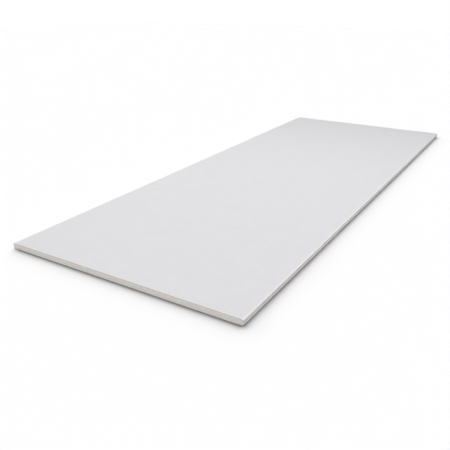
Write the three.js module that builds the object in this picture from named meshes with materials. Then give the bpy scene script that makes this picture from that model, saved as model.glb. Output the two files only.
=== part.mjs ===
// A drywall sheet in a small one-person format, lying face up.
// A cast gypsum core is held between two webs of paper. The face paper is one web: it covers
// the face, wraps both rounded long edges and is folded in under the core as a flap. The back
// paper is laid over the two flaps, so each long edge has a lap seam on the back. The two ends
// are sawn square, and show the core and the cut edges of both papers.
// Millimetres, +X along the length, +Y across the width, +Z up through the face. The origin is
// the middle of the back.
import * as THREE from "three";

// Driving dimensions
const sheetLength = 1500;
const sheetWidth = 600;
const sheetThickness = 12.5; // over both papers
const facePaperThickness = 0.35;
const backPaperThickness = 0.3;
const faceEdgeRadius = 4.5; // between the face and a long edge
const backEdgeRadius = 4.0; // between a long edge and the back
const backPaperSetback = 12; // the back paper's side, in from the long edge
const lapWidth = 16; // of the back paper over a flap
const arcSteps = 16; // facets in a quarter turn

// The flaps are let into the core, so that the whole wrap lies on top of the back paper.
const halfWidth = sheetWidth / 2;
const backPaperSide = halfWidth - backPaperSetback;
const flapEnd = backPaperSide - lapWidth;
const wrapBottom = backPaperThickness;

// On a sheet too thin for both rounds of its edge, they shrink together and leave a flat.
const mostRounded = 0.9; // the share of an edge's height that the rounds may take
const roundable = (sheetThickness - wrapBottom) * mostRounded;
const roundScale = Math.min(1, roundable / (faceEdgeRadius + backEdgeRadius));

// The line of the wrap, from the right flap's inner end round the face to the left one's. The
// outside of the face paper has no inset. Its inside, which is also the core's outside, is
// inset by the paper's thickness.
function wrapLine(inset) {
  const side = halfWidth - inset;
  const top = sheetThickness - inset;
  const bottom = wrapBottom + inset;
  const faceRadius = faceEdgeRadius * roundScale - inset;
  const backRadius = backEdgeRadius * roundScale - inset;
  const faceCentre = side - faceRadius;
  const backCentre = side - backRadius;
  const quarter = Math.PI / 2;
  return new THREE.Path()
    .moveTo(flapEnd, bottom)
    .lineTo(backCentre, bottom)
    .absarc(backCentre, bottom + backRadius, backRadius, -quarter, 0)
    .lineTo(side, top - faceRadius)
    .absarc(faceCentre, top - faceRadius, faceRadius, 0, quarter)
    .lineTo(-faceCentre, top)
    .absarc(-faceCentre, top - faceRadius, faceRadius, quarter, 2 * quarter)
    .lineTo(-side, bottom + backRadius)
    .absarc(-backCentre, bottom + backRadius, backRadius, 2 * quarter, 3 * quarter)
    .lineTo(-flapEnd, bottom)
    .getPoints(arcSteps);
}

const insideOfWrap = wrapLine(facePaperThickness);

// The face paper's section is the band between the wrap's outside and its inside.
function facePaperSection() {
  return new THREE.Shape([...wrapLine(0), ...insideOfWrap.toReversed()]);
}

// The core fills the wrap, and comes down between the flaps to meet the back paper.
function coreSection() {
  return new THREE.Shape([
    ...insideOfWrap,
    new THREE.Vector2(-flapEnd, wrapBottom),
    new THREE.Vector2(flapEnd, wrapBottom),
  ]);
}

function backPaperSection() {
  return new THREE.Shape()
    .moveTo(-backPaperSide, 0)
    .lineTo(backPaperSide, 0)
    .lineTo(backPaperSide, backPaperThickness)
    .lineTo(-backPaperSide, backPaperThickness);
}

// A section is drawn as (across, up), and runs the whole length of the sheet.
const acrossUpAlong = new THREE.Matrix4().makeBasis(
  new THREE.Vector3(0, 1, 0),
  new THREE.Vector3(0, 0, 1),
  new THREE.Vector3(1, 0, 0),
);

function fullLengthPiece(name, section, material) {
  const run = new THREE.ExtrudeGeometry(section, { depth: sheetLength, bevelEnabled: false });
  const piece = new THREE.Mesh(run.applyMatrix4(acrossUpAlong), material);
  piece.name = name;
  piece.position.x = -sheetLength / 2;
  return piece;
}

const gypsum = new THREE.MeshStandardMaterial({ color: 0xc6c2bc, roughness: 0.95, metalness: 0 });
const whitePaper = new THREE.MeshStandardMaterial({ color: 0xdfdfe1, roughness: 0.85, metalness: 0 });
const greyPaper = new THREE.MeshStandardMaterial({ color: 0xa9a196, roughness: 0.9, metalness: 0 });

const sheet = new THREE.Group();
sheet.name = "drywall_sheet";
sheet.add(
  fullLengthPiece("gypsum_core", coreSection(), gypsum),
  fullLengthPiece("face_paper", facePaperSection(), whitePaper),
  fullLengthPiece("back_paper", backPaperSection(), greyPaper),
);

export default sheet;
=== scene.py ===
import math
import bmesh
import bpy
from mathutils import Matrix, Vector, noise


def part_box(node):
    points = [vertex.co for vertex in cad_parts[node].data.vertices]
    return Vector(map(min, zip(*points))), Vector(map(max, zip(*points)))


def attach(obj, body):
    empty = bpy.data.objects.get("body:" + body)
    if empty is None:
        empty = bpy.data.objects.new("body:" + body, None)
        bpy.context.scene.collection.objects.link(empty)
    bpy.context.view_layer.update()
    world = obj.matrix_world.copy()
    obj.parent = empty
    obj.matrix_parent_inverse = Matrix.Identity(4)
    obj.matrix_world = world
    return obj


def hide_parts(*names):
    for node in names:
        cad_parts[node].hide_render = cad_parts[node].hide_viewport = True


# Looks for a drywall sheet that lies face up on a plain floor. Metres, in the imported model's frame:
# +X runs along the sheet, +Y across it and +Z up through its face.

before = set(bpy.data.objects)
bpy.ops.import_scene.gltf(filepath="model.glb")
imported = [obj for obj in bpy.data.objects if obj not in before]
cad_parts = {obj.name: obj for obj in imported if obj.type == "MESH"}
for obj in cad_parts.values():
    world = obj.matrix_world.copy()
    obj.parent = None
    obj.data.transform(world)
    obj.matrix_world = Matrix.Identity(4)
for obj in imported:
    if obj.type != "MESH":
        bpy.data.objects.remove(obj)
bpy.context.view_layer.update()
faceLow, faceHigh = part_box("face_paper")
coreLow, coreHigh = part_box("gypsum_core")
backLow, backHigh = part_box("back_paper")
halfLength = faceHigh.x
halfWidth = faceHigh.y
print("frame loaded:", sorted(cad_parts))


# Helpers around Blender's own operators

modelling = {
    "axisMatch": 0.999,  # how nearly an edge or a normal has to lie along an axis
    "tiny": 1e-5,
    "smoothAngle": 35,  # degrees
}


def deselectAll():
    bpy.ops.object.select_all(action="DESELECT")


def makeActive(piece):
    deselectAll()
    bpy.context.view_layer.objects.active = piece
    piece.select_set(True)


def nameNewPiece(name):
    bpy.ops.object.transform_apply(location=True, rotation=True, scale=True)
    piece = bpy.context.active_object
    piece.name = name
    piece.data.name = name
    return piece


def addBlock(name, low, high):
    deselectAll()
    bpy.ops.mesh.primitive_cube_add(size=1, location=(low + high) / 2, scale=high - low)
    return nameNewPiece(name)


def startEditing(piece):
    makeActive(piece)
    bpy.ops.object.mode_set(mode="EDIT")
    bpy.ops.mesh.select_all(action="DESELECT")


def stopEditing():
    bpy.ops.object.mode_set(mode="OBJECT")


def pickEdges(piece, wanted):
    bpy.ops.mesh.select_mode(type="EDGE")
    mesh = bmesh.from_edit_mesh(piece.data)
    for edge in mesh.edges:
        start, end = (corner.co for corner in edge.verts)
        edge.select_set(wanted((start + end) / 2, end - start))
    bmesh.update_edit_mesh(piece.data)


def pickFaces(piece, wanted):
    bpy.ops.mesh.select_mode(type="FACE")
    mesh = bmesh.from_edit_mesh(piece.data)
    mesh.normal_update()
    for face in mesh.faces:
        face.select_set(wanted(face.calc_center_median(), face.normal))
    bmesh.update_edit_mesh(piece.data)


def applyModifier(piece, kind, **settings):
    modifier = piece.modifiers.new(kind.title(), kind)
    for key, value in settings.items():
        setattr(modifier, key, value)
    makeActive(piece)
    bpy.ops.object.modifier_apply(modifier=modifier.name)


def smoothRounds(piece):
    makeActive(piece)
    bpy.ops.object.shade_smooth_by_angle(angle=math.radians(modelling["smoothAngle"]))


def runsAlong(vector, axis):
    return abs(vector[axis]) > modelling["axisMatch"] * vector.length


def facesDown(normal):
    return normal.z < -modelling["axisMatch"]


# The long edges of the sheet: the paper wraps them, and the core follows inside it

longEdge = {
    "faceRound": 0.0045,  # outside radius between the face and the edge
    "backRound": 0.004,  # outside radius between the edge and the back
    "roundSteps": 16,
    "flapEnd": 0.272,  # where the folded-in flap stops, from the sheet's middle
}


def roundLongEdges(piece, inset):
    middle = sum(corner[2] for corner in piece.bound_box) / 8
    for radius, isTop in ((longEdge["faceRound"], True), (longEdge["backRound"], False)):
        startEditing(piece)
        pickEdges(piece, lambda at, along: runsAlong(along, 0) and (at.z > middle) == isTop)
        bpy.ops.mesh.bevel(offset=radius - inset, segments=longEdge["roundSteps"], profile=0.5)
        stopEditing()


def splitAtFlapEnds(piece):
    for side in (-1, 1):
        startEditing(piece)
        pickFaces(piece, lambda at, normal: facesDown(normal))
        bpy.ops.mesh.bisect(plane_co=(0, side * longEdge["flapEnd"], 0), plane_no=(0, 1, 0))
        stopEditing()


def isBetweenFlaps(at, normal):
    return facesDown(normal) and abs(at.y) < longEdge["flapEnd"]


# The sawn ends: every piece gets fine faces there and is worn in by a little

sawnEnd = {
    "stripPasses": ((0.1, 9), (0.01, 90)),  # edges longer than this get this many cuts
    "rimDepth": 0.003,  # how far in from the end the wear may reach
    "patchShare": (0.5, 1.3),  # where it is patchy: the mean share of it, and the swing
    "paperRagSize": 0.0016,
    "paperRagDepth": 0.0003,
}


def stripAlongSheet(piece):
    rim = halfLength - sawnEnd["rimDepth"]
    for side in (-1, 1):
        startEditing(piece)
        bpy.ops.mesh.select_all(action="SELECT")
        bpy.ops.mesh.bisect(plane_co=(side * rim, 0, 0), plane_no=(1, 0, 0))
        stopEditing()
    for longest, cuts in sawnEnd["stripPasses"]:
        startEditing(piece)
        pickEdges(piece, lambda at, along: runsAlong(along, 1) and along.length > longest)
        bpy.ops.mesh.subdivide(number_cuts=cuts)
        stopEditing()


def addClouds(name, size, depth=2):
    clouds = bpy.data.textures.new(name, "CLOUDS")
    clouds.noise_scale = size
    clouds.noise_depth = depth
    return clouds


def groupEnds(piece, name, patchSize=None):
    # the wear is even along an end, or comes and goes in patches
    mean, swing = sawnEnd["patchShare"]
    for place, side in (("near", -1), ("far", 1)):
        group = piece.vertex_groups.new(name=place + name)
        for vertex in piece.data.vertices:
            if vertex.co.x * side > halfLength - modelling["tiny"]:
                share = 1 if patchSize is None else mean + swing * noise.noise(vertex.co / patchSize)
                group.add([vertex.index], max(0, min(1, share)), "REPLACE")


def wearEnds(piece, name, texture, depth):
    for place, inwards in (("near", 1), ("far", -1)):
        applyModifier(piece, "DISPLACE", texture=texture, texture_coords="LOCAL", direction="X",
                      vertex_group=place + name, mid_level=0, strength=inwards * depth)


# The face paper: one web, wrapped round both long edges and folded in under the core

facePaper = {
    "thickness": faceHigh.z - coreHigh.z,
}
paperRag = addClouds("paperRag", sawnEnd["paperRagSize"])


def makeFacePaper():
    wrap = addBlock("facePaper", faceLow, faceHigh)
    roundLongEdges(wrap, 0)
    splitAtFlapEnds(wrap)
    startEditing(wrap)
    pickFaces(wrap, lambda at, normal: runsAlong(normal, 0) or isBetweenFlaps(at, normal))
    bpy.ops.mesh.delete(type="FACE")
    stopEditing()
    stripAlongSheet(wrap)
    for name in ("facePaper", "faceCutEdge"):
        wrap.data.materials.append(bpy.data.materials.new(name))
    applyModifier(wrap, "SOLIDIFY", thickness=facePaper["thickness"], offset=-1, use_even_offset=True,
                  material_offset_rim=1)
    groupEnds(wrap, "Rag")
    wearEnds(wrap, "Rag", paperRag, sawnEnd["paperRagDepth"])
    smoothRounds(wrap)
    return wrap


facePiece = makeFacePaper()
print("facePaper", len(facePiece.data.polygons))

# The core: cast gypsum, sawn at the ends, where its bubbles show as pores

gypsumCore = {
    "facesAcross": 1400,
    "facesUp": 30,
    "overrun": 0.001,
    "grainSize": 0.0011,
    "grainDepth": 0.00014,
    "bubbles": (  # the radius is a share of the spacing
        {"name": "Bubbles", "spacing": 0.0034, "radius": 0.2, "depth": 0.0007},
        {"name": "Pinholes", "spacing": 0.0017, "radius": 0.24, "depth": 0.00035},
    ),
}


def makeCoreSection():
    # Drawn past both ends, so that the ends come from the fine block that it is cut with
    overrun = Vector((gypsumCore["overrun"], 0, 0))
    onFlaps = Vector((0, 0, facePaper["thickness"]))
    section = addBlock("coreSection", coreLow - overrun + onFlaps, coreHigh + overrun)
    roundLongEdges(section, facePaper["thickness"])
    splitAtFlapEnds(section)
    startEditing(section)
    pickFaces(section, isBetweenFlaps)
    bpy.ops.mesh.extrude_region_move(TRANSFORM_OT_translate={"value": -onFlaps})
    stopEditing()
    return section


def addBubbles(name, spacing, radius):
    bubbles = bpy.data.textures.new(name, "VORONOI")
    bubbles.noise_scale = spacing
    bubbles.use_color_ramp = True
    ramp = bubbles.color_ramp
    ramp.interpolation = "EASE"
    ramp.elements[0].position = 0
    ramp.elements[0].color = (1, 1, 1, 1)
    ramp.elements[1].position = radius
    ramp.elements[1].color = (0, 0, 0, 1)
    return bubbles


def makeGypsumCore():
    size = coreHigh - coreLow
    margin = 2 * gypsumCore["overrun"]
    deselectAll()
    bpy.ops.mesh.primitive_grid_add(
        x_subdivisions=gypsumCore["facesUp"], y_subdivisions=gypsumCore["facesAcross"], size=1,
        location=(coreLow.x, 0, (coreLow.z + coreHigh.z) / 2), rotation=(0, math.radians(-90), 0))
    bpy.context.active_object.scale = (size.z + margin, size.y + margin, 1)
    core = nameNewPiece("gypsumCore")
    startEditing(core)
    bpy.ops.mesh.select_all(action="SELECT")
    bpy.ops.mesh.extrude_region_move(TRANSFORM_OT_translate={"value": (size.x, 0, 0)})
    bpy.ops.mesh.select_all(action="SELECT")
    bpy.ops.mesh.normals_make_consistent(inside=False)
    stopEditing()
    section = makeCoreSection()
    applyModifier(core, "BOOLEAN", operation="INTERSECT", solver="EXACT", object=section)
    bpy.data.objects.remove(section)
    groupEnds(core, "Grain")
    for plan in gypsumCore["bubbles"]:
        groupEnds(core, plan["name"], plan["spacing"])
    wearEnds(core, "Grain", addClouds("coreGrain", gypsumCore["grainSize"]), gypsumCore["grainDepth"])
    for plan in gypsumCore["bubbles"]:
        wearEnds(core, plan["name"], addBubbles(plan["name"], plan["spacing"], plan["radius"]), plan["depth"])
    smoothRounds(core)
    return core


corePiece = makeGypsumCore()
print("gypsumCore", len(corePiece.data.polygons))


# The back paper: a second web, laid over the flaps, whose ragged ends show its plies

def makeBackPaper():
    web = addBlock("backPaper", backLow, backHigh)
    stripAlongSheet(web)
    for name in ("backPaper", "backCutEdge"):
        web.data.materials.append(bpy.data.materials.new(name))
    groupEnds(web, "Rag")
    wearEnds(web, "Rag", paperRag, sawnEnd["paperRagDepth"])
    raggedFrom = halfLength - sawnEnd["paperRagDepth"] - modelling["tiny"]
    startEditing(web)
    pickFaces(web, lambda at, normal: abs(at.x) > raggedFrom and abs(normal.x) > abs(normal.z))
    bpy.context.object.active_material_index = 1
    bpy.ops.object.material_slot_assign()
    stopEditing()
    return web


backPiece = makeBackPaper()
print("backPaper", len(backPiece.data.polygons))


# Materials

def toLinear(red, green, blue):
    # from the 0 to 255 of a colour picker to what a shader takes
    parts = [part / 255 for part in (red, green, blue)]
    return tuple(p / 12.92 if p < 0.04045 else ((p + 0.055) / 1.055) ** 2.4 for p in parts) + (1.0,)


def feedSocket(tree, socket, value):
    if isinstance(value, bpy.types.NodeSocket):
        tree.links.new(value, socket)
    else:
        socket.default_value = value


def addNode(tree, kind, inputs=None, **settings):
    node = tree.nodes.new(kind)
    for key, value in settings.items():
        setattr(node, key, value)
    for name, value in (inputs or {}).items():
        feedSocket(tree, node.inputs[name], value)
    return node


def addGroup(tree, group, **inputs):
    return addNode(tree, "ShaderNodeGroup", inputs, node_tree=group).outputs


def addMath(tree, operation, first, second=0.0):
    return addNode(tree, "ShaderNodeMath", {0: first, 1: second}, operation=operation).outputs[0]


def addVectorMath(tree, operation, first, second=(0, 0, 0)):
    return addNode(tree, "ShaderNodeVectorMath", {0: first, 1: second}, operation=operation).outputs["Vector"]


def addMix(tree, amount, first, second, blend="MIX"):
    inputs = {0: amount, 6: first, 7: second}
    return addNode(tree, "ShaderNodeMix", inputs, data_type="RGBA", blend_type=blend).outputs[2]


def addRange(tree, value, low, high, toLow=0.0, toHigh=1.0):
    # a value from low to high comes out as toLow to toHigh, and the ranges below are written in that order
    inputs = {"Value": value, "From Min": low, "From Max": high, "To Min": toLow, "To Max": toHigh}
    return addNode(tree, "ShaderNodeMapRange", inputs).outputs["Result"]


def addRamp(tree, amount, stops):
    ramp = addNode(tree, "ShaderNodeValToRGB", {"Fac": amount})
    elements = ramp.color_ramp.elements
    while len(elements) < len(stops):
        elements.new(0.5)
    for element, (position, color) in zip(elements, stops):
        element.position = position
        element.color = color
    return ramp.outputs["Color"]


def addNoise(tree, position, scale, detail=2.0, roughness=0.5):
    inputs = {"Vector": position, "Scale": scale, "Detail": detail, "Roughness": roughness}
    return addNode(tree, "ShaderNodeTexNoise", inputs).outputs["Fac"]


def addStretch(tree, position, scale, turn=0.0):
    inputs = {"Vector": position, "Scale": scale, "Rotation": (0, 0, math.radians(turn))}
    return addNode(tree, "ShaderNodeMapping", inputs).outputs[0]


def startGroup(name, inputs, outputs):
    group = bpy.data.node_groups.new(name, "ShaderNodeTree")
    for label, kind in inputs.items():
        group.interface.new_socket(name=label, in_out="INPUT", socket_type=kind)
    for label in outputs:
        group.interface.new_socket(name=label, in_out="OUTPUT", socket_type="NodeSocketFloat")
    return group, group.nodes.new("NodeGroupInput").outputs, group.nodes.new("NodeGroupOutput").inputs


cloudShape = {
    "detail": 6.0,
    "roughness": 0.95,
    "range": (0.3, 0.7),
}


def makeCloudyTone():
    # One even cloudiness, from palm-sized patches down to single grains
    group, given, result = startGroup(
        "cloudyTone", {"position": "NodeSocketVector", "patchesPerMetre": "NodeSocketFloat"}, ("tone",))
    clouds = addNoise(group, given["position"], given["patchesPerMetre"], cloudShape["detail"],
                      cloudShape["roughness"])
    group.links.new(addRange(group, clouds, *cloudShape["range"]), result["tone"])
    return group


fibreShape = {
    "layers": ((6, 0.1), (-24, 0.14), (52, 0.2), (-71, 0.22)),  # degrees from the web's length, and stretch
    "detail": 2.0,
    "roughness": 0.55,
    "range": (0.5, 0.72),
    "fleckTurn": 20,
    "fleckStretch": 0.4,
    "flecksPerFibre": 0.4,
    "fleckRange": (0.84, 0.9),
}


def makePaperFibre():
    # Pulp fibres at a few angles, most of them along the web, and the rare dark fleck of recycled print
    group, given, result = startGroup(
        "paperFibre", {"position": "NodeSocketVector", "fibresPerMetre": "NodeSocketFloat"},
        ("fibre", "fleck"))
    fibre = None
    for turn, stretch in fibreShape["layers"]:
        turned = addStretch(group, given["position"], (stretch, 1, 1), turn)
        strands = addNoise(group, turned, given["fibresPerMetre"], fibreShape["detail"],
                           fibreShape["roughness"])
        layer = addRange(group, strands, *fibreShape["range"])
        fibre = layer if fibre is None else addMath(group, "MAXIMUM", fibre, layer)
    group.links.new(fibre, result["fibre"])
    turned = addStretch(group, given["position"], (fibreShape["fleckStretch"], 1, 1), fibreShape["fleckTurn"])
    flecksPerMetre = addMath(group, "MULTIPLY", given["fibresPerMetre"], fibreShape["flecksPerFibre"])
    flecks = addNoise(group, turned, flecksPerMetre, 0.0)
    group.links.new(addRange(group, flecks, *fibreShape["fleckRange"]), result["fleck"])
    return group


scuffShape = {
    "raggedPerMetre": 700.0,
    "raggedStretch": 0.25,
    "detail": 3.0,
    "roughness": 0.6,
    "borderRange": (0.3, 0.7, 0.3, 1.7),  # the ragged noise, and the share of the reach that it gives
    "fade": (0.5, 1.0, 1.0, 0.0),  # from all of it to none, towards the border
}


def makeSawScuff():
    # Where the saw has roughened the paper beside a cut end, with an uneven inner border
    group, given, result = startGroup(
        "sawScuff", {"position": "NodeSocketVector", "reach": "NodeSocketFloat"}, ("scuff",))
    along = addNode(group, "ShaderNodeSeparateXYZ", {"Vector": given["position"]}).outputs["X"]
    fromEnd = addMath(group, "SUBTRACT", halfLength, addMath(group, "ABSOLUTE", along))
    stretched = addStretch(group, given["position"], (scuffShape["raggedStretch"], 1, 1))
    ragged = addNoise(group, stretched, scuffShape["raggedPerMetre"], scuffShape["detail"],
                      scuffShape["roughness"])
    border = addMath(group, "MULTIPLY", addRange(group, ragged, *scuffShape["borderRange"]), given["reach"])
    share = addMath(group, "DIVIDE", fromEnd, border)
    group.links.new(addRange(group, share, *scuffShape["fade"]), result["scuff"])
    return group


cloudyTone = makeCloudyTone()
paperFibre = makePaperFibre()
sawScuff = makeSawScuff()


def startMaterial(name):
    material = bpy.data.materials.get(name) or bpy.data.materials.new(name)
    material.use_nodes = True
    tree = material.node_tree
    tree.nodes.clear()
    shader = addNode(tree, "ShaderNodeBsdfPrincipled")
    addNode(tree, "ShaderNodeOutputMaterial", {"Surface": shader.outputs[0]})
    place = addNode(tree, "ShaderNodeTexCoord").outputs["Object"]
    return tree, shader, place


def finishMaterial(tree, shader, color, roughness, relief, depth):
    bump = addNode(tree, "ShaderNodeBump", {"Height": relief, "Distance": depth, "Strength": 1.0})
    tree.links.new(color, shader.inputs["Base Color"])
    tree.links.new(roughness, shader.inputs["Roughness"])
    tree.links.new(bump.outputs[0], shader.inputs["Normal"])


def addHeight(tree, place):
    return addNode(tree, "ShaderNodeSeparateXYZ", {"Vector": place}).outputs["Z"]


def paintPaper(name, finish):
    tree, shader, place = startMaterial(name)
    tone = addGroup(tree, cloudyTone, position=place, patchesPerMetre=finish["patchesPerMetre"])["tone"]
    pulp = addGroup(tree, paperFibre, position=place, fibresPerMetre=finish["fibresPerMetre"])
    color = addMix(tree, tone, finish["dark"], finish["light"])
    for part, shows in (("fibre", finish["fibreShows"]), ("fleck", finish["fleckShows"])):
        color = addMix(tree, addMath(tree, "MULTIPLY", pulp[part], shows), color, finish[part])
    if "wrap" in finish:
        # the wrap ramp multiplies painted light, painted shade and a painted highlight into the colour, by
        # height
        wrap = addRamp(tree, addMath(tree, "DIVIDE", addHeight(tree, place), faceHigh.z), finish["wrap"])
        color = addMix(tree, 1.0, color, wrap, "MULTIPLY")
    scuff = addGroup(tree, sawScuff, position=place, reach=finish["scuffReach"])["scuff"]
    color = addMix(tree, scuff, color, finish["scuff"])
    roughness = addRange(tree, pulp["fibre"], 0, 1, *finish["roughness"])
    finishMaterial(tree, shader, color, roughness, pulp["fibre"], finish["relief"])


facePaperFinish = {
    "light": toLinear(228, 227, 230),
    "dark": toLinear(222, 221, 224),
    "fibre": toLinear(232, 232, 233),
    "fleck": toLinear(170, 164, 156),
    "fibreShows": 0.3,
    "fleckShows": 0.5,
    "patchesPerMetre": 25.0,
    "fibresPerMetre": 2200.0,
    "roughness": (0.76, 0.86),
    "relief": 0.00002,
    "scuff": toLinear(188, 174, 154),
    "scuffReach": 0.0007,
    "wrap": (  # painted light and shade by height, from the floor (0) up to the face (1): painted light low on the bend, painted shade on the band down the side, whose warmer tint is the paper's own, and a painted highlight near the top of the bend
        (0.26, (1.05, 1.03, 0.98, 1.0)),
        (0.4, (0.865, 0.846, 0.797, 1.0)),
        (0.56, (0.755, 0.734, 0.688, 1.0)),
        (0.85, (0.73, 0.711, 0.673, 1.0)),
        (0.895, (1.01, 1.018, 1.008, 1.0)),
        (0.95, (1.06, 1.065, 1.056, 1.0)),
        (0.98, (1.06, 1.065, 1.056, 1.0)),
        (1.0, (1.0, 1.0, 1.0, 1.0)),
    ),
}

backPaperFinish = {
    "light": toLinear(178, 170, 158),
    "dark": toLinear(158, 150, 138),
    "fibre": toLinear(206, 199, 188),
    "fleck": toLinear(96, 90, 84),
    "fibreShows": 0.5,
    "fleckShows": 0.8,
    "patchesPerMetre": 40.0,
    "fibresPerMetre": 2000.0,
    "roughness": (0.82, 0.94),
    "relief": 0.00002,
    "scuff": toLinear(190, 178, 160),
    "scuffReach": 0.0009,
}

cutEdgeFinish = {
    "tones": {
        "faceCutEdge": (toLinear(154, 134, 104), toLinear(184, 165, 135)),
        "backCutEdge": (toLinear(208, 197, 180), toLinear(234, 226, 212)),
    },
    "plies": (60, 900, 9000),  # per metre along, across and up the sheet
    "detail": 3.0,
    "noiseRoughness": 0.6,
    "range": (0.35, 0.65),
    "roughness": (0.85, 0.95),
    "relief": 0.00005,
}


def paintCutEdge(name):
    finish = cutEdgeFinish
    tree, shader, place = startMaterial(name)
    squeezed = addStretch(tree, place, finish["plies"])
    plies = addNoise(tree, squeezed, 1.0, finish["detail"], finish["noiseRoughness"])
    color = addMix(tree, addRange(tree, plies, *finish["range"]), *finish["tones"][name])
    roughness = addRange(tree, plies, 0, 1, *finish["roughness"])
    finishMaterial(tree, shader, color, roughness, plies, finish["relief"])


gypsumFinish = {
    "light": toLinear(225, 220, 216),
    "dark": toLinear(214, 209, 205),
    "crystal": toLinear(238, 235, 232),
    "poreShade": toLinear(182, 177, 172),
    "patchesPerMetre": 160.0,
    "crystalsPerMetre": 1900.0,
    "crystalDetail": 2.0,
    "crystalRoughness": 0.6,
    "crystalRange": (0.58, 0.72, 0.0, 0.6),
    "finePoresPerMetre": 1100.0,
    "finePoreRange": (0.12, 0.3, 1.0, 0.0),
    "finePoreShows": 0.6,
    "smear": toLinear(196, 180, 158),
    "smearReach": 0.0003,  # pulp that the saw drags off the paper onto the rim of the core
    "smearBorder": (0.35, 0.65, 0.3, 1.7),
    "smearEdge": (0.4, 1.0, 1.0, 0.0),
    "smearFade": (0.002, 0.008, 0.25, 1.0),  # there is less of it low down, by the back paper
    "rimRound": 0.0039,
    "roughness": (0.86, 0.96),
    "relief": 0.00012,
}


def measureFromRim(tree, place):
    # how deep a point of the sawn end lies inside the core's rounded outline
    middle = (coreLow + coreHigh) / 2
    flat = (coreHigh - coreLow) / 2 - Vector((0, 1, 1)) * gypsumFinish["rimRound"]
    centred = addVectorMath(tree, "ABSOLUTE", addVectorMath(tree, "SUBTRACT", place, middle))
    beyond = addVectorMath(tree, "SUBTRACT", centred, flat + Vector((1, 0, 0)))
    parts = addNode(tree, "ShaderNodeSeparateXYZ", {"Vector": beyond}).outputs
    inner = addMath(tree, "MINIMUM", addMath(tree, "MAXIMUM", parts["Y"], parts["Z"]), 0.0)
    corner = addNode(tree, "ShaderNodeVectorMath",
                     {0: addVectorMath(tree, "MAXIMUM", beyond, (0, 0, 0))}, operation="LENGTH")
    outer = addMath(tree, "ADD", corner.outputs["Value"], inner)
    return addMath(tree, "SUBTRACT", gypsumFinish["rimRound"], outer)


def paintGypsum():
    finish = gypsumFinish
    tree, shader, place = startMaterial("gypsum")
    tone = addGroup(tree, cloudyTone, position=place, patchesPerMetre=finish["patchesPerMetre"])["tone"]
    color = addMix(tree, tone, finish["dark"], finish["light"])
    crystals = addNoise(tree, place, finish["crystalsPerMetre"], finish["crystalDetail"],
                        finish["crystalRoughness"])
    color = addMix(tree, addRange(tree, crystals, *finish["crystalRange"]), color, finish["crystal"])
    cells = addNode(tree, "ShaderNodeTexVoronoi", {"Vector": place, "Scale": finish["finePoresPerMetre"]})
    pore = addRange(tree, cells.outputs["Distance"], *finish["finePoreRange"])
    color = addMix(tree, addMath(tree, "MULTIPLY", pore, finish["finePoreShows"]), color, finish["poreShade"])
    border = addRange(tree, crystals, *finish["smearBorder"])
    fromRim = addMath(tree, "DIVIDE", measureFromRim(tree, place), finish["smearReach"])
    smear = addRange(tree, addMath(tree, "DIVIDE", fromRim, border), *finish["smearEdge"])
    smear = addMath(tree, "MULTIPLY", smear, addRange(tree, addHeight(tree, place), *finish["smearFade"]))
    color = addMix(tree, smear, color, finish["smear"])
    relief = addMath(tree, "SUBTRACT", addMath(tree, "ADD", tone, crystals), pore)
    roughness = addRange(tree, crystals, 0, 1, *finish["roughness"])
    finishMaterial(tree, shader, color, roughness, relief, finish["relief"])


paintPaper("facePaper", facePaperFinish)
paintPaper("backPaper", backPaperFinish)
for edgeName in cutEdgeFinish["tones"]:
    paintCutEdge(edgeName)
paintGypsum()
corePiece.data.materials.append(bpy.data.materials["gypsum"])
print("materials:", [material.name for material in bpy.data.materials if material.users])

for piece, node, slot in ((facePiece, "face_paper", "face_paper"), (corePiece, "gypsum_core", "gypsum"),
                          (backPiece, "back_paper", "back_paper")):
    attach(piece, "root")
    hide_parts(node)


# Floor, lamps and camera

floorFinish = {
    "size": 14.0,
    "drop": 0.00005,  # keeps it clear of the sheet's underside
    "color": (0.88, 0.88, 0.88, 1.0),
    "bounceColor": (0.45, 0.45, 0.45, 1.0),  # what the sheet gets back from it
    "contact": (  # each shade looks for cover over a reach, towards a heading and a tilt in degrees
        {"reach": 0.055, "heading": 40, "tilt": 65, "power": 2.2, "shade": 1.37},
        {"reach": 0.012, "heading": -21, "tilt": 60, "power": 3.2, "shade": 1.8},
    ),
    "shadeColor": (0.0, 0.0, 0.01, 1.0),
    "coverSamples": 16,
    # light gets in past the far end and the left side: this far before their corners the shades
    # are still whole, and then gone
    "fadeAlong": (0.025, 0.005),
    "fadeAcross": (0.022, 0.008),
}


def addPlainRays(tree):
    # what the camera sees, also through gloss and glass
    rays = addNode(tree, "ShaderNodeLightPath").outputs
    mirrored = addMath(tree, "MAXIMUM", rays["Is Glossy Ray"], rays["Is Transmission Ray"])
    return rays["Is Camera Ray"], addMath(tree, "MAXIMUM", rays["Is Camera Ray"], mirrored)


def addContactShade(tree, plan):
    heading, tilt = math.radians(plan["heading"]), math.radians(plan["tilt"])
    towards = addNode(tree, "ShaderNodeCombineXYZ", {
        "X": math.cos(heading) * math.sin(tilt),
        "Y": math.sin(heading) * math.sin(tilt),
        "Z": math.cos(tilt),
    })
    uncovered = addNode(tree, "ShaderNodeAmbientOcclusion", {
        "Distance": plan["reach"], "Normal": towards.outputs[0]},
        samples=floorFinish["coverSamples"]).outputs["AO"]
    covered = addMath(tree, "POWER", addMath(tree, "SUBTRACT", 1.0, uncovered), plan["power"])
    return addMath(tree, "SUBTRACT", 1.0, addMath(tree, "MULTIPLY", covered, plan["shade"]))


def addCornerFade(tree):
    place = addNode(tree, "ShaderNodeTexCoord").outputs["Object"]
    parts = addNode(tree, "ShaderNodeSeparateXYZ", {"Vector": place}).outputs
    whole, gone = (halfLength - inset for inset in floorFinish["fadeAlong"])
    along = addRange(tree, parts["X"], whole, gone, 1.0, 0.0)
    whole, gone = (halfWidth - inset for inset in floorFinish["fadeAcross"])
    across = addRange(tree, parts["Y"], whole, gone, 1.0, 0.0)
    return addMath(tree, "MULTIPLY", along, across)


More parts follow.
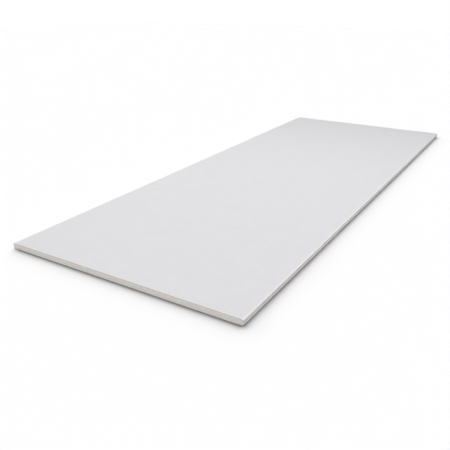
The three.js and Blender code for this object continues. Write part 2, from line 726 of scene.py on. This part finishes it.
def makeFloor():
    deselectAll()
    bpy.ops.mesh.primitive_plane_add(size=floorFinish["size"], location=(0, 0, -floorFinish["drop"]))
    floor = nameNewPiece("floor")
    material = bpy.data.materials.new("floor")
    material.use_nodes = True
    tree = material.node_tree
    tree.nodes.clear()
    seen, plain = addPlainRays(tree)
    light = 1.0
    for plan in floorFinish["contact"]:
        light = addMath(tree, "MULTIPLY", light, addContactShade(tree, plan))
    shade = addMath(tree, "MULTIPLY", addCornerFade(tree), addMath(tree, "SUBTRACT", 1.0, light))
    shade = addMath(tree, "MULTIPLY", seen, shade)
    color = addMix(tree, plain, floorFinish["bounceColor"], floorFinish["color"])
    color = addMix(tree, shade, color, floorFinish["shadeColor"])
    paint = addNode(tree, "ShaderNodeBsdfDiffuse", {"Color": color})
    clear = addNode(tree, "ShaderNodeBsdfTransparent")
    below = addNode(tree, "ShaderNodeNewGeometry").outputs["Backfacing"]
    mix = addNode(tree, "ShaderNodeMixShader", {0: below, 1: paint.outputs[0], 2: clear.outputs[0]})
    addNode(tree, "ShaderNodeOutputMaterial", {"Surface": mix.outputs[0]})
    floor.data.materials.append(material)
    return floor


floor = makeFloor()


def groupForLight(name, pieces):
    group = bpy.data.collections.new(name)
    for piece in pieces:
        group.objects.link(piece)
    return group


# The sheet and the floor have lamps of their own, so that the floor is white round a plainly lit sheet,
# and the back paper has one more, because the floor hides it from the rest
litPieces = {
    "sheet": groupForLight("litSheet", (facePiece, corePiece, backPiece)),
    "back": groupForLight("litBack", (backPiece,)),
    "floor": groupForLight("litFloor", (floor,)),
}
# The energy is in watts for an area lamp, and in watts per square metre for a sun, whose place gives
# no more than its heading
lamps = {
    "overhead": {"lights": "sheet", "kind": "AREA", "place": (0.0, 0.4, 3.0), "energy": 17.0},
    "farFill": {"lights": "sheet", "kind": "AREA", "place": (0.2, 0.0, 1.4), "energy": 6.1},
    "front": {"lights": "sheet", "kind": "AREA", "place": (-2.82, 0.0, 1.03), "energy": 31.8},
    "side": {"lights": "sheet", "kind": "AREA", "place": (-0.25, -2.93, 0.62), "energy": 37.3},
    "highSide": {"lights": "sheet", "kind": "AREA", "place": (0.0, -1.03, 2.82), "energy": 8.5},
    "behind": {"lights": "sheet", "kind": "AREA", "place": (1.47, 2.53, 0.62), "energy": 25.0},
    "under": {"lights": "sheet", "kind": "AREA", "place": (0.0, 0.0, -3.0), "energy": 30.0},
    "underBack": {"lights": "back", "kind": "AREA", "place": (0.0, 0.0, -3.0), "energy": 45.0},
    "wideSky": {"lights": "floor", "kind": "SUN", "place": (1.0, 1.0, 1.414), "energy": 2.78, "angle": 100},
    "backSky": {"lights": "floor", "kind": "SUN", "place": (1.0, 1.0, 0.99), "energy": 1.78, "angle": 60},
}
lampSize = 1.2  # metres across, for every area lamp
worldStrength = 0.18


def makeLamp(name, plan):
    data = bpy.data.lights.new(name, plan["kind"])
    data.energy = plan["energy"]
    if plan["kind"] == "SUN":
        data.angle = math.radians(plan["angle"])
    else:
        data.shape = "DISK"
        data.size = lampSize
    lamp = bpy.data.objects.new(name, data)
    bpy.context.scene.collection.objects.link(lamp)
    lamp.location = plan["place"]
    lamp.rotation_euler = lamp.location.to_track_quat("Z", "Y").to_euler()
    lamp.light_linking.receiver_collection = litPieces[plan["lights"]]
    if plan["place"][2] < 0:
        lamp.light_linking.blocker_collection = litPieces["sheet"]  # it shines up through the floor


for lampName, lampPlan in lamps.items():
    makeLamp(lampName, lampPlan)


def makeWorld():
    world = bpy.data.worlds.new("studio")
    bpy.context.scene.world = world
    world.use_nodes = True
    tree = world.node_tree
    tree.nodes.clear()
    light = addNode(tree, "ShaderNodeBackground", {"Color": (1, 1, 1, 1), "Strength": worldStrength})
    white = addNode(tree, "ShaderNodeBackground", {"Color": (1, 1, 1, 1), "Strength": 1.0})
    plain = addPlainRays(tree)[1]
    mix = addNode(tree, "ShaderNodeMixShader", {0: plain, 1: light.outputs[0], 2: white.outputs[0]})
    addNode(tree, "ShaderNodeOutputWorld", {"Surface": mix.outputs[0]})


makeWorld()

camera = {
    "place": Vector((-1.4040, -0.6860, 0.5250)),
    "heading": 31.03,  # degrees from +X towards +Y
    "down": 23.79,
    "roll": -0.25,
    "lens": 42.28,
    "shiftX": -0.0322,
    "nearClip": 0.01,
    "farClip": 50,
}


def makeCamera():
    data = bpy.data.cameras.new("camera")
    data.lens = camera["lens"]
    data.shift_x = camera["shiftX"]
    data.clip_start = camera["nearClip"]
    data.clip_end = camera["farClip"]
    view = bpy.data.objects.new("camera", data)
    bpy.context.scene.collection.objects.link(view)
    heading, down = math.radians(camera["heading"]), math.radians(camera["down"])
    level = math.cos(down)
    forward = Vector((math.cos(heading) * level, math.sin(heading) * level, -math.sin(down)))
    roll = Matrix.Rotation(math.radians(camera["roll"]), 3, "Z")
    turn = forward.to_track_quat("-Z", "Y").to_matrix() @ roll
    view.matrix_world = Matrix.Translation(camera["place"]) @ turn.to_4x4()
    bpy.context.scene.camera = view


makeCamera()
bpy.context.scene.view_settings.view_transform = "Standard"
print("floor, camera and", len(lamps), "lamps")
